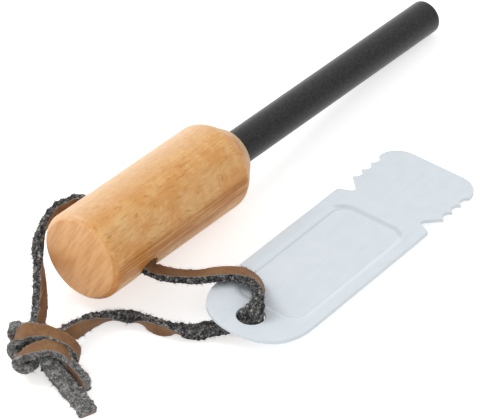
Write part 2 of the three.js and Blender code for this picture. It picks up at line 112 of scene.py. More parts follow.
# %% [markdown]
# ## The lace's route
# The lace is one flat strip. Its stations were placed one by one: each has its place in tenths of
# a millimetre, from the table under the handle's front rim, and the way that the smooth brown
# side faces there, because a flat strip can't twist as it likes.

# %% List the stations
STATION_UNIT = 0.1 * MM
TO_STRIKER = [
    (-445, -1, 148, 10, -47, 88), (-446, -37, 129, 25, -46, 85), (-446, -74, 109, 30, -45, 84),
    (-446, -108, 91, 27, -29, 92), (-443, -128, 91, 12, 1, 99), (-436, -146, 90, 16, 1, 99),
    (-427, -164, 89, 19, 6, 98), (-413, -185, 88, 21, 12, 97), (-399, -206, 88, 22, 17, 96),
    (-380, -226, 88, 19, 20, 96), (-358, -243, 88, 15, 17, 97), (-338, -262, 88, 15, 14, 98),
    (-321, -284, 88, 18, 10, 98), (-313, -308, 88, 28, 5, 96), (-316, -334, 89, 50, -9, 86),
    (-333, -362, 94, 69, -46, 56), (-357, -385, 98, 62, -78, 5), (-379, -398, 98, 52, -72, -46),
    (-392, -404, 89, 75, -37, -55), (-401, -405, 70, 92, 1, -40), (-407, -401, 55, 85, -10, -51),
    (-416, -386, 46, 55, -35, -76), (-428, -368, 42, 25, -35, -90), (-441, -348, 33, 5, -25, -97),
    (-455, -326, 21, -5, -30, -95), (-470, -307, 14, -3, -15, -99), (-486, -292, 11, -6, 0, -100),
    (-500, -279, 13, -23, 0, -97), (-510, -263, 16, -41, -5, -91), (-525, -251, 23, -71, -45, -55),
    (-536, -231, 23, -90, -40, -16), (-543, -211, 22, -96, -24, -11), (-546, -190, 23, -96, -12, -24),
    (-548, -169, 23, -78, -12, -62), (-549, -145, 18, -38, -20, -90), (-557, -126, 17, -33, -16, -93),
    (-572, -110, 20, -46, -34, -82), (-589, -95, 22, -46, -58, -67), (-610, -87, 26, -36, -79, -49),
    (-632, -80, 30, -20, -95, -25), (-667, -79, 39, -4, -100, 5),
]
TO_KNOT = [
    (-445, 1, 149, 10, -47, 88), (-443, 37, 166, -30, -45, 84), (-444, 74, 184, -84, -30, 45),
    (-450, 113, 195, -93, -33, -19), (-463, 131, 185, -67, -72, -18), (-473, 144, 179, -59, -77, -26),
    (-487, 152, 171, -39, -90, -15), (-505, 156, 164, -13, -98, -17), (-526, 157, 157, 15, -97, -21),
    (-546, 156, 141, 43, -85, -31), (-567, 149, 126, 64, -67, -39), (-586, 134, 114, 72, -64, -27),
    (-605, 116, 104, 71, -70, -4), (-625, 96, 96, 65, -74, 16), (-646, 76, 88, 60, -74, 29),
    (-668, 56, 82, 57, -74, 35), (-691, 36, 76, 52, -76, 40), (-721, 13, 70, 50, -76, 43),
]
BACK_STRAND = [
    (-724, 11, 70, 45, -83, 35), (-745, -2, 66, 35, -85, 40), (-760, -13, 50, 37, -77, 52),
    (-785, -37, 42, 50, -74, 45), (-811, -57, 36, 49, -87, -4), (-836, -65, 32, 17, -75, -64),
    (-858, -62, 30, -18, -29, -94), (-871, -50, 34, -58, 22, -78), (-868, -39, 44, -36, 94, 5),
    (-858, -47, 58, -12, 71, 56), (-843, -61, 70, -12, 40, 81), (-824, -77, 77, -8, 15, 99),
    (-807, -94, 78, 7, 0, 100), (-798, -115, 75, 24, -18, 95), (-794, -134, 67, 41, -53, 74),
    (-790, -144, 50, 57, -77, 29), (-788, -143, 30, 51, -75, -42), (-790, -125, 16, 35, -10, -93),
    (-800, -105, 21, 60, 26, -76), (-805, -77, 21, 63, 10, -77),
]
FRONT_STRAND = [
    (-670, -79, 40, 1, -99, 15), (-692, -78, 44, 0, -97, 26), (-718, -76, 48, -8, -93, 35),
    (-745, -73, 46, -9, -91, 41), (-774, -73, 42, -3, -95, 30), (-800, -74, 36, -13, -98, -12),
    (-821, -65, 30, -28, -66, -70), (-838, -47, 26, -35, -21, -91), (-844, -24, 29, -58, 20, -79),
    (-839, -3, 38, -44, 83, -62), (-825, 2, 50, -33, 89, 13), (-812, -2, 64, -38, 43, 57),
    (-801, -11, 76, -51, 7, 86), (-789, -30, 82, -32, 1, 95), (-781, -49, 83, -8, -3, 100),
    (-774, -69, 82, 11, -6, 99), (-768, -89, 79, 23, -13, 97), (-764, -110, 74, 32, -27, 91),
    (-762, -128, 65, 46, -54, 70), (-761, -138, 50, 53, -83, 15), (-765, -136, 32, 39, -70, -59),
    (-766, -114, 18, 45, -15, -88), (-770, -85, 21, 60, 10, -79), (-772, -48, 21, 60, 2, -80),
    (-773, -10, 21, 61, 5, -79), (-777, 23, 22, 25, 44, -87), (-791, 34, 38, -15, 98, -14),
    (-791, 25, 52, 98, -15, -13), (-794, -4, 56, 74, -17, -65),
]
LONG_END = [
    (-808, -73, 50, -17, 6, -98), (-823, -99, 50, -4, 18, -98), (-833, -127, 40, 12, 36, -92),
    (-838, -158, 26, 13, 34, -93), (-845, -189, 16, 8, 19, -98), (-854, -229, 11, 2, 7, -100),
    (-869, -269, 10, 1, 2, -100),
]
SHORT_END = [
    (-785, -87, 54, -93, 32, 5), (-796, -116, 54, -93, 27, -5), (-800, -140, 48, -93, 18, -12),
    (-802, -164, 39, -93, 17, -12), (-804, -186, 28, -93, 25, -8), (-813, -211, 26, -91, 32, -8),
]
under_rim = np.array((rim.x, rim.y, 0))


def place_of(station):
    return np.array(station[:3]) * STATION_UNIT + under_rim


print("stations up to the knot:", len(TO_STRIKER), "and", len(TO_KNOT))

# %% [markdown]
# ## From stations to a strap
# A curve object with a bevel would twist the section by its own rule. Sweeping it ourselves
# keeps every ring turned as the stations say. The centre line passes smoothly through every
# station, and allows for their distances, so that it doesn't swing wide in tight bends.

# %% Draw a smooth line through the stations
LACE_WIDTH = 4.2 * MM
LACE_HALF_THICK = 0.95 * MM
RING_STEP = 0.28 * MM
STEPS_PER_SPAN = 24


def smooth_line(points):
    """Places on the curve through the points, and how far along the list each one lies."""
    padded = np.vstack([2 * points[0] - points[1], points, 2 * points[-1] - points[-2]])
    gaps = np.sqrt(np.linalg.norm(np.diff(padded, axis=0), axis=1))
    places = []
    for i in range(len(points) - 1):
        a, b, c, d = padded[i:i + 4]
        ab, bc, cd = gaps[i:i + 3]
        leave = ((b - a) / ab - (c - a) / (ab + bc) + (c - b) / bc) * bc
        arrive = ((c - b) / bc - (d - b) / (bc + cd) + (d - c) / cd) * bc
        for t in np.arange(STEPS_PER_SPAN) / STEPS_PER_SPAN:
            places.append(
                (2 * t**3 - 3 * t**2 + 1) * b + (t**3 - 2 * t**2 + t) * leave
                + (3 * t**2 - 2 * t**3) * c + (t**3 - t**2) * arrive
            )
    places.append(points[-1])
    return np.array(places), np.arange(len(places)) / STEPS_PER_SPAN


def unit(vectors):
    return vectors / np.linalg.norm(vectors, axis=1)[:, None]


def strap_rings(stations):
    """Each ring's middle, the way across it and the way that its smooth side faces."""
    places, counted = smooth_line(np.array([place_of(station) for station in stations]))
    along = np.concatenate([[0], np.cumsum(np.linalg.norm(np.diff(places, axis=0), axis=1))])
    evenly = np.linspace(0, along[-1], round(along[-1] / RING_STEP) + 1)
    middles = np.stack([np.interp(evenly, along, row) for row in places.T], axis=1)
    station = np.interp(evenly, along, counted)
    facings = np.array(stations)[:, 3:]
    facing = np.stack([np.interp(station, range(len(facings)), row) for row in facings.T], axis=1)
    ways = unit(np.gradient(middles, axis=0))
    facing = unit(facing - ways * (facing * ways).sum(1)[:, None])
    return np.array([middles, np.cross(facing, ways), facing])


front_rings = strap_rings(TO_STRIKER + FRONT_STRAND)
back_rings = strap_rings(TO_KNOT + BACK_STRAND)
long_rings = strap_rings(LONG_END)
short_rings = strap_rings(SHORT_END)
print("rings:", front_rings.shape[1], "and", back_rings.shape[1])

# %% [markdown]
# ## The strap's section and its fluff
# Split leather has a smooth side, the grain, and a hairy one, the flesh. The cut edges are
# hairy too. The section is a squared oval of evenly spaced points, and each carries a number
# called flesh: 0 on the smooth side and 1 on the hairy sides. Layers of noise push the hairy
# points in and out, so the torn outline is real geometry. Leather gives way to steel: what
# would enter the striker is pushed back, inward in the hole and up or down beside it.

# %% Make the section and push its hairy sides about
SECTION_POINTS = 48
SQUARENESS = 7
SECTION_CORE = LACE_HALF_THICK / 2
GRAIN_SHARES = (0.66, 0.92)
FLESH_SWELL = 0.45 * MM
INSIDE_HANDLE = 13.5 * MM
FRONT_SWELLS_OVER, BACK_SWELLS_OVER = 7.5 * MM, 20 * MM
FLUFF = ((0.6, 0.24 * MM), (1.5, 0.26 * MM), (3.4, 0.16 * MM))
TEARS_PER_MM, TEAR_DEPTH = 0.95, 0.95 * MM
WAVES_PER_MM, WAVE_SHARE = 0.42, 0.055
# By the striker's hole the strap is made wider and its flesh side fuller: lace, and partly a dark stand-in for the
# shade inside the hole.
HOLE_FILL_REACH, HOLE_FILL_WIDER, HOLE_FILL_SWELL = 4.2 * MM, 0.16, 0.9 * MM
SPREAD_PLACE = (-442, -346, 30)
SPREAD_REACH, SPREAD_WIDER = 6 * MM, 0.26
STEEL_LOW, STEEL_MIDDLE, STEEL_HIGH = -0.12 * MM, 0.4 * MM, 1.12 * MM
HOLE_REACH, HOLE_RIM, STEEL_REACH = 3.4 * MM, 4.6 * MM, 84 * MM
LEAST_HEIGHT = 0.03 * MM


def squared(wave):
    """A sine or cosine with flatter tops, so that a circle becomes a squared oval."""
    return np.sign(wave) * np.abs(wave)**(2 / SQUARENESS)


turn = np.linspace(0, 2 * math.pi, 721)
wide = LACE_WIDTH / 2 * squared(np.cos(turn))
thick = LACE_HALF_THICK * squared(np.sin(turn))
along = np.concatenate([[0], np.cumsum(np.hypot(np.diff(wide), np.diff(thick)))])
evenly = np.linspace(0, along[-1], SECTION_POINTS, endpoint=False)
section_wide, section_thick = np.interp(evenly, along, wide), np.interp(evenly, along, thick)
height_share = section_thick / LACE_HALF_THICK
section_flesh = np.interp(height_share, GRAIN_SHARES, (1, 0))
core_half = LACE_WIDTH / 2 - SECTION_CORE
out_wide = section_wide - np.clip(section_wide, -core_half, core_half)
out_thick = section_thick - np.clip(section_thick, -SECTION_CORE, SECTION_CORE)
out_length = np.hypot(out_wide, out_thick)
out_wide, out_thick = out_wide / out_length, out_thick / out_length
section_edge = np.abs(out_wide) * section_flesh


def clear_of_steel(points):
    """The points, with those that would enter the striker's sheet moved out of it."""
    turn = np.array(striker_frame)[:3, :3]
    local = (points - np.array(hole_place)) @ turn
    away = np.hypot(local[:, 0], local[:, 1])
    inside = (local[:, 2] > STEEL_LOW) & (local[:, 2] < STEEL_HIGH) & (away < STEEL_REACH)
    by_hole = inside & (away < HOLE_RIM)
    local[by_hole, :2] *= np.minimum(1, HOLE_REACH / away[by_hole])[:, None]
    beside = inside & ~by_hole
    local[beside, 2] = np.where(local[beside, 2] > STEEL_MIDDLE, STEEL_HIGH, STEEL_LOW)
    return local @ turn.T + np.array(hole_place)


def nearness(place, centre, reach):
    """1 at the centre, falling to 0 at its reach."""
    return max(0, 1 - (np.linalg.norm(place - np.array(centre)) / reach)**2)


def fullness(middle, i, swells_over):
    """How wide a ring is, as a share, and how far its flesh side stands out."""
    swell = FLESH_SWELL
    if swells_over:
        swell *= min(1, max(0, i * RING_STEP - INSIDE_HANDLE) / swells_over)
    wavy = WAVE_SHARE * noise.noise(Vector(middle) * (WAVES_PER_MM / MM))
    # Wider and fuller by the hole, partly standing in for the shade in it.
    hole_fill = nearness(middle, hole_place, HOLE_FILL_REACH)
    spread = SPREAD_WIDER * nearness(middle, place_of(SPREAD_PLACE), SPREAD_REACH)
    return 1 + wavy + spread + HOLE_FILL_WIDER * hole_fill, swell + HOLE_FILL_SWELL * hole_fill


def strap_points(rings, swells_over=None):
    """Every point of a strap, ring by ring, with its fluff."""
    rows = []
    for i, (middle, side, facing) in enumerate(zip(*rings)):
        stretch, swell = fullness(middle, i, swells_over)
        thick = section_thick * np.where(section_thick < 0, 1 + swell / LACE_HALF_THICK, 1)
        row = middle + np.outer(section_wide * stretch, side) + np.outer(thick, facing)
        out = np.outer(out_wide, side) + np.outer(out_thick, facing)
        for j, flesh in enumerate(section_flesh):
            if flesh:
                place = Vector(row[j])
                push = sum(noise.noise(place * (waves / MM)) * height for waves, height in FLUFF)
                tear = max(0, noise.noise(place * (TEARS_PER_MM / MM))) * TEAR_DEPTH
                row[j] += out[j] * (push * flesh + tear * section_edge[j])
        row = clear_of_steel(row)
        row[:, 2] = np.maximum(row[:, 2], LEAST_HEIGHT)
        rows.append(row)
    return np.array(rows)


front_points = strap_points(front_rings, FRONT_SWELLS_OVER)
back_points = strap_points(back_rings, BACK_SWELLS_OVER)
long_points = strap_points(long_rings)
short_points = strap_points(short_rings)
print("points round each ring:", front_points.shape[1])

# %% [markdown]
# ## The lace as objects
# The long strips are cut where the knot begins, so that the two free stretches are cords of
# their own and the knot is made of strands that pass round each other. Both sides of a cut
# share the same ring, so no seam shows.

# %% Build meshes from rings
ALL_LACE = []


def add_mesh(name, points, faces, matrix=Matrix()):
    """A new smooth object from points and faces."""
    mesh = bpy.data.meshes.new(name)
    mesh.from_pydata([tuple(p) for p in points], [], faces)
    mesh.polygons.foreach_set("use_smooth", [True] * len(mesh.polygons))
    mesh.update()
    piece = bpy.data.objects.new(name, mesh)
    bpy.context.scene.collection.objects.link(piece)
    piece.matrix_world = matrix
    return piece


def ring_faces(rings, count, closed=True):
    """Faces that join rings of count points each, with a cap on each end if closed."""
    faces = []
    for r in range(rings - 1):
        for i in range(count):
            j = (i + 1) % count
            faces.append((r * count + i, r * count + j, (r + 1) * count + j, (r + 1) * count + i))
    if closed:
        faces.append(tuple(range(count - 1, -1, -1)))
        faces.append(tuple((rings - 1) * count + i for i in range(count)))
    return faces


def add_strap(name, points):
    rings, count = points.shape[:2]
    piece = add_mesh(name, points.reshape(-1, 3), ring_faces(rings, count))
    flesh = piece.data.attributes.new("flesh", "FLOAT", "POINT")
    flesh.data.foreach_set("value", np.tile(section_flesh, rings))
    for cap in piece.data.polygons[-2:]:
        cap.use_smooth = False
    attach(piece, "firesteel")
    ALL_LACE.append(piece)
    return piece


def cut_at(rings, stations):
    """The number of the ring where the first stations end."""
    return int(np.linalg.norm(rings[0] - place_of(stations[-1]), axis=1).argmin())


front_cut = cut_at(front_rings, TO_STRIKER)
back_cut = cut_at(back_rings, TO_KNOT)
striker_run = add_strap("lace_striker_run", front_points[:front_cut + 1])
butt_run = add_strap("lace_butt_run", back_points[:back_cut + 1])
knot_pieces = [
    add_strap("knot_front_strand", front_points[front_cut:]),
    add_strap("knot_back_strand", back_points[back_cut:]),
    add_strap("knot_long_end", long_points),
    add_strap("knot_short_end", short_points),
]
print("straps:", len(ALL_LACE))

# %% [markdown]
# ## Loose fibres
# The flesh side sheds fibres, which make the lace's outline woolly. Each is a bent spike with
# three sides: hair curves would be easier to comb, but an exported model keeps only meshes. A
# seeded random source gives the same coat every time.

# %% Grow the fibres
FIBRES_PER_MM = 24
FIBRE_LENGTH = (0.4 * MM, 1.4 * MM)
FIBRE_WIDTH = 0.05 * MM
FIBRE_ROOT_DEPTH = 0.08 * MM
LEAN_OUT, LEAN_ALONG = (0.25, 0.9), (-0.9, 0.9)
STRAY, BEND, TAPER = 0.5, 0.8, 0.7
HAIRY = [j for j, flesh in enumerate(section_flesh) if flesh > 0.6]
FIBRE_FACES = [(0, 2, 1), (0, 1, 4, 3), (1, 2, 5, 4), (2, 0, 3, 5), (3, 4, 6), (4, 5, 6), (5, 3, 6)]
chance = random.Random(20)


def any_direction():
    return Vector([chance.gauss(0, 1) for _ in range(3)]).normalized()


def fibre(root, out, way):
    """Seven points of one bent spike."""
    lean = out * chance.uniform(*LEAN_OUT) + way * chance.uniform(*LEAN_ALONG)
    lean = (lean + any_direction() * STRAY).normalized()
    bend = (lean + any_direction() * BEND).normalized()
    long = chance.uniform(*FIBRE_LENGTH)
    side = lean.orthogonal().normalized() * FIBRE_WIDTH
    other = lean.cross(side)
    foot = root - lean * FIBRE_ROOT_DEPTH
    elbow = root + lean * long / 2
    corners = (side, other * 0.87 - side / 2, -other * 0.87 - side / 2)
    points = [foot + corner for corner in corners]
    points += [elbow + corner * TAPER for corner in corners]
    return points + [elbow + bend * long / 2]


def add_fibres(name, *coats):
    """One object of fibres on several coats, each (points, rings)."""
    points, faces = [], []
    for coat, rings in coats:
        ways = unit(np.gradient(rings[0], axis=0))
        for _ in range(round(len(coat) * RING_STEP / MM * FIBRES_PER_MM)):
            i = chance.randrange(len(coat))
            j = chance.choice(HAIRY)
            out = Vector(rings[1][i] * out_wide[j] + rings[2][i] * out_thick[j])
            first = len(points)
            points += fibre(Vector(coat[i][j]), out, Vector(ways[i]))
            faces += [tuple(first + k for k in face) for face in FIBRE_FACES]
    points = clear_of_steel(np.array(points))
    points[:, 2] = np.maximum(points[:, 2], 0)
    piece = add_mesh(name, points, faces)
    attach(piece, "firesteel")
    return piece


def coats_of(points, rings, cut):
    """A strap's coat before the cut, and the one after it."""
    return (points[:cut], rings[:, :cut]), (points[cut:], rings[:, cut:])


front_run, front_knot = coats_of(front_points, front_rings, front_cut)
back_run, back_knot = coats_of(back_points, back_rings, back_cut)
striker_run_fibres = add_fibres("lace_striker_run_fibres", front_run)
butt_run_fibres = add_fibres("lace_butt_run_fibres", back_run)
knot_fibres = add_fibres(
    "knot_fibres", front_knot, back_knot, (long_points, long_rings), (short_points, short_rings)
)
ALL_FIBRES = [striker_run_fibres, butt_run_fibres, knot_fibres]
print("fibres:", sum(len(piece.data.polygons) for piece in ALL_FIBRES) // len(FIBRE_FACES))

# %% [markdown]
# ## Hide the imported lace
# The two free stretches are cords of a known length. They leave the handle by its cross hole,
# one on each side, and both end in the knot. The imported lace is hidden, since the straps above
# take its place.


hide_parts("lace_to_striker")
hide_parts("lace_to_knot")
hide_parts("lace_knot")

# %% [markdown]
# ## The handle
# The handle is turned, so its surface is one profile spun round a line: a flat butt with a
# broad eased edge, a straight barrel, a domed shoulder and a plain cone to the rim. The easing
# meets the butt in a crease, as a file leaves it, and the dome meets the cone in another. It is
# made along X with the front rim at zero, and the tool's frame lays it down.

# %% Spin the handle and its bore
HANDLE_RADIUS = 12 * MM
RIM_RADIUS = 7.2 * MM
BUTT_FLAT_RADIUS = 10.6 * MM
BUTT_EASING = 1.9 * MM
SHOULDER_LENGTH = 7.7 * MM
CONE_LENGTH = SHOULDER_LENGTH * 0.41
CONE_RISE = (HANDLE_RADIUS - RIM_RADIUS) * 0.486
BORE_RADIUS = 5.3 * MM
BORE_DEPTH = 18.55 * MM
DOME_FULLNESS = 0.6 * MM
RIM_SOFTENING = 0.25 * MM
EASING_PULL = (BUTT_EASING * 0.33, -0.12 * MM)
BUTT_RINGS = (2 * MM, 5 * MM, 8 * MM)
BARREL_RINGS = range(-56, -8)
ROUND_STEPS = 192


def arc(x, y, radius, start, end, steps):
    """Points on an arc, both ends included, with its angles in degrees."""
    angles = np.radians(np.linspace(start, end, steps + 1))
    return [(x + radius * math.cos(a), y + radius * math.sin(a)) for a in angles]


def bezier(corners, steps):
    """Points on the curve from the first corner to the last that the others pull at."""
    t = np.linspace(0, 1, steps + 1)[:, None]
    while len(corners) > 1:
        corners = [(1 - t) * np.array(a) + t * np.array(b) for a, b in zip(corners, corners[1:])]
    return [tuple(p) for p in corners[0]]


def spun(name, profile, matrix):
    """A closed solid from (x, radius) points. A radius of zero makes one point."""
    turn = np.linspace(0, 2 * math.pi, ROUND_STEPS, endpoint=False)
    points, rows, faces = [], [], []
    for x, radius in profile:
        row = range(len(points), len(points) + (ROUND_STEPS if radius else 1))
        rows.append(row)
        points += [(x, radius * math.cos(a), radius * math.sin(a)) for a in turn[:len(row)]]
    for a, b in zip(rows, rows[1:]):
        for i in range(ROUND_STEPS):
            j = (i + 1) % ROUND_STEPS
            corners = (a[i % len(a)], b[i % len(b)], b[j % len(b)], a[j % len(a)])
            faces.append(tuple(dict.fromkeys(corners)))
    return add_mesh(name, points, faces, matrix)


# From the middle of the butt along the barrel and down into the bore.
butt_x = -HANDLE_LENGTH
profile = [(butt_x, radius) for radius in (0, *BUTT_RINGS)]
pull_x, pull_radius = EASING_PULL
profile += bezier((
    (butt_x, BUTT_FLAT_RADIUS), (butt_x + pull_x, HANDLE_RADIUS + pull_radius),
    (butt_x + BUTT_EASING, HANDLE_RADIUS),
), 14)
profile += [(x * MM, HANDLE_RADIUS) for x in BARREL_RINGS]
run_to_meet = (HANDLE_RADIUS - RIM_RADIUS - CONE_RISE) * CONE_LENGTH / CONE_RISE
profile += bezier((
    (-SHOULDER_LENGTH, HANDLE_RADIUS), (DOME_FULLNESS - CONE_LENGTH - run_to_meet, HANDLE_RADIUS),
    (-CONE_LENGTH, RIM_RADIUS + CONE_RISE),
), 20)
cone_angle = math.degrees(math.atan2(CONE_LENGTH, CONE_RISE))
profile += arc(-RIM_SOFTENING, RIM_RADIUS, RIM_SOFTENING, cone_angle, 0, 4)
profile += arc(-RIM_SOFTENING, BORE_RADIUS + RIM_SOFTENING, RIM_SOFTENING, 0, -90, 6)
profile += [(-BORE_DEPTH, BORE_RADIUS), (-BORE_DEPTH, 0)]
handle = spun("handle_turned", profile, tool_frame)
print("handle faces:", len(handle.data.polygons))

# %% [markdown]
# ## The lace's hole
# The hole is drilled slantwise across the handle, and its mouth is eased so that the lace isn't
# cut. A Boolean modifier subtracts a cutter, whose ends flare with the barrel's own curve, so
# that the eased edge has the same width all round.

# %% Drill the hole with eased mouths
LACE_HOLE_RADIUS = 3.4 * MM
LACE_HOLE_X = -44.6 * MM
LACE_HOLE_TILT = math.radians(28)
MOUTH_EASING = 0.5 * MM
DRILL_WAIST, DRILL_PAST = 3 * MM, 2 * MM
CUTTER_STEPS = 96
SHARP_ANGLE = math.radians(24)


def add_cutter():
    """A drill made of rings. Each has a radius, and its heights above the hole's middle."""
    turn = np.linspace(0, 2 * math.pi, CUTTER_STEPS, endpoint=False)
    rings = [(LACE_HOLE_RADIUS, DRILL_WAIST)]
    for opening in np.radians(np.linspace(0, 90, 7)):
        radius = LACE_HOLE_RADIUS + MOUTH_EASING * (1 - math.cos(opening))
        barrel = np.sqrt(HANDLE_RADIUS**2 - (radius * np.sin(turn))**2)
        rings.append((radius, barrel - MOUTH_EASING * (1 - math.sin(opening))))
    rings.append((LACE_HOLE_RADIUS + MOUTH_EASING, HANDLE_RADIUS + DRILL_PAST))
    lower = [(radius, -height) for radius, height in rings[::-1]]
    cos, sin = math.cos(LACE_HOLE_TILT), math.sin(LACE_HOLE_TILT)
    points = []
    for radius, height in lower + rings:
        x, across = LACE_HOLE_X + radius * np.cos(turn), radius * np.sin(turn)
        points += zip(x, height * cos - across * sin, height * sin + across * cos)
    return add_mesh("lace_hole_cutter", points, ring_faces(2 * len(rings), CUTTER_STEPS), tool_frame)


def facing_out(piece):
    work = bmesh.new()
    work.from_mesh(piece.data)
    bmesh.ops.recalc_face_normals(work, faces=work.faces)
    work.to_mesh(piece.data)
    work.free()


cutter = add_cutter()
facing_out(handle)
facing_out(cutter)
cut = handle.modifiers.new("cut", "BOOLEAN")
cut.operation, cut.solver, cut.object = "DIFFERENCE", "EXACT", cutter
bpy.context.view_layer.update()
finished = handle.evaluated_get(bpy.context.evaluated_depsgraph_get())
result = bpy.data.meshes.new_from_object(finished)
handle.modifiers.clear()
handle.data = result
bpy.data.objects.remove(cutter)
handle.data.set_sharp_from_angle(angle=SHARP_ANGLE)
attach(handle, "firesteel")
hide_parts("handle")
print("faces after drilling:", len(handle.data.polygons))

# %% [markdown]
# ## The rod
# The rod is a cast bar with its tip edge just broken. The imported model's glue stays in view
# round it, so only the rod is made again, with enough rings for a clean highlight.

# %% Spin the rod
ROD_RADIUS = 4.75 * MM
ROD_SHOWN = 86.5 * MM
ROD_SEAT = 18 * MM
ROD_TIP_ROUND = 0.9 * MM

profile = [(-ROD_SEAT, 0), (-ROD_SEAT, ROD_RADIUS)]
profile += [(x * MM, ROD_RADIUS) for x in range(0, 85, 2)]
profile += arc(ROD_SHOWN - ROD_TIP_ROUND, ROD_RADIUS - ROD_TIP_ROUND, ROD_TIP_ROUND, 90, 0, 10)
profile += [(ROD_SHOWN, 2 * MM), (ROD_SHOWN, 0)]
rod = spun("rod_cast", profile, tool_frame)
facing_out(rod)
rod.data.set_sharp_from_angle(angle=SHARP_ANGLE)
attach(rod, "firesteel")
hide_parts("ferro_rod")
print("rod faces:", len(rod.data.polygons))

# %% [markdown]
# ## The striker's outline
# The striker is stamped from sheet: a round end with a hole, a notch in each side, and a row of
# four points behind it for scraping. One side's outline is written as arcs, in mm, and the
# other mirrors it. The hole is at zero, X runs to the far end and Z out of the upper face.

# %% Draw the outline
HALF_WIDTH = 14.3
HOLE_EDGE = 7.7
TIP_REACH, TIP_CORNER = 81.8, 6.4
NOSE_LENGTH, NOSE_SHARE, SIDE_SHARE = 13.5, 0.85, 0.36
POINT_HALF_WIDTH = 14.25
POINT_COUNT, POINT_PITCH = 4, 3.95
SCALLOP_DEPTH = 1.25
FIRST_POINT = TIP_REACH - TIP_CORNER - (POINT_COUNT - 1) * POINT_PITCH
NOTCH = (FIRST_POINT - 4.35, HALF_WIDTH - 3.8 + 1.35, 1.35)
STRAIGHT_END = NOTCH[0] - 2.3
CORNER_ROUND = 0.8
SHARPEST_CORNER = 0.45


def inward(loop, distance):
    """The loop with every point moved in along the line that halves its corner."""
    before = unit(loop - np.roll(loop, 1, axis=0))
    after = unit(np.roll(loop, -1, axis=0) - loop)
    left, left_after = (np.stack([-step[:, 1], step[:, 0]], axis=1) for step in (before, after))
    both = unit(left + left_after)
    return loop + both * (distance / np.maximum((both * left).sum(1), SHARPEST_CORNER))[:, None]


# From the tip of the round end along one side to the far end, in mm.
side = bezier((
    (-HOLE_EDGE, 0), (-HOLE_EDGE, HALF_WIDTH * NOSE_SHARE),
    (NOSE_LENGTH * (1 - SIDE_SHARE) - HOLE_EDGE, HALF_WIDTH),
    (NOSE_LENGTH - HOLE_EDGE, HALF_WIDTH),
), 48)
side += arc(STRAIGHT_END - CORNER_ROUND, HALF_WIDTH - CORNER_ROUND, CORNER_ROUND, 90, 15, 6)
side += arc(*NOTCH, 195, 320, 16)
half = POINT_PITCH / 2
radius = (half**2 + SCALLOP_DEPTH**2) / (2 * SCALLOP_DEPTH)
above = radius - SCALLOP_DEPTH
swing = math.degrees(math.atan2(above, half))
for i in range(POINT_COUNT - 1):
    middle = FIRST_POINT + half + i * POINT_PITCH
    scallop = arc(middle, POINT_HALF_WIDTH + above, radius, 180 + swing, 360 - swing, 16)
    side += scallop[1:] if i else scallop
side += arc(TIP_REACH - TIP_CORNER, POINT_HALF_WIDTH - TIP_CORNER, TIP_CORNER, 90, 0, 20)[1:]
outline = np.array([(x, -y) for x, y in side] + side[:0:-1])
print("length in mm:", round(float(np.ptp(outline[:, 0])), 1))

# %% [markdown]
# ## The striker as a mesh
# A press rounds the upper edge of a stamping and leaves the lower one sharp. At the recess the
# whole sheet goes down: a soft bend at the top, a crisp one at the foot, and the same shape
# proud underneath. The walls are rings joined by quads. The flat parts between them are filled
# with triangles and stay flat-shaded, so that only the edges catch the light.

# %% Build the striker
SHEET = 1.0
EDGE_ROUNDINGS = ((SHEET, 0.14, (90, 65, 40, 15, 0)), (0, 0.05, (0, 45, 90)))
HOLE_RADIUS = 3.65
RECESS_LOW, RECESS_HIGH = HOLE_RADIUS + 0.55, STRAIGHT_END - 3.5
RECESS_HALF_WIDTH = HALF_WIDTH - 2.7
RECESS_CORNER = 5.6
RECESS_DEPTH = 0.7
RECESS_FLANK = 2.1
FLANK_STEPS = 12
FLANK_CURVE = 1.6
FOLD_ANGLE = math.radians(50)


def edge_rings(loop):
    """Rings down a cut edge, from its upper rounding to its lower one."""
    rings = []
    for face_z, edge, turns in EDGE_ROUNDINGS:
        for turn in np.radians(turns):
            depth = edge * (1 - math.sin(turn))
            z = face_z - depth if face_z else depth
            rings.append([(x, y, z) for x, y in inward(loop, edge * (1 - math.cos(turn)))])
    return rings


def flank_rings(top):
    """Rings down the recess's flank, each with four round corners."""
    near, far = RECESS_LOW + RECESS_CORNER, RECESS_HIGH - RECESS_CORNER
    half = RECESS_HALF_WIDTH - RECESS_CORNER
    rings = []
    for share in np.linspace(0, 1, FLANK_STEPS + 1):
        z, radius = top - RECESS_DEPTH * share**FLANK_CURVE, RECESS_CORNER - RECESS_FLANK * share
        loop = []
        for k, (x, y) in enumerate(((far, half), (near, half), (near, -half), (far, -half))):
            loop += arc(x, y, radius, 90 * k, 90 * k + 90, 14)
        rings.append([(x, y, z) for x, y in loop])
    return rings


class Sheet:
    """Collects points, ring walls and flat fillings for one closed mesh."""

    def __init__(self):
        self.points, self.bent, self.faces = [], [], []

    def walls(self, rings, bent=0):
        """Join rings with quads. Returns the numbers of the first and the last ring's points."""
        first, count = len(self.points), len(rings[0])
        for share, ring in zip(np.linspace(0, bent, len(rings)), rings):
            self.points += ring
            self.bent += [share] * count
        walls = ring_faces(len(rings), count, closed=False)
        self.faces += [tuple(first + k for k in face) for face in walls]
        return range(first, first + count), range(len(self.points) - count, len(self.points))

    def fill(self, *loops):
        """Fill the first loop, leaving out the others."""
        numbers = [k for loop in loops for k in loop]
        triangles = tessellate_polygon([[Vector(self.points[k]) for k in loop] for loop in loops])
        self.faces += [tuple(numbers[k] for k in triangle) for triangle in triangles]


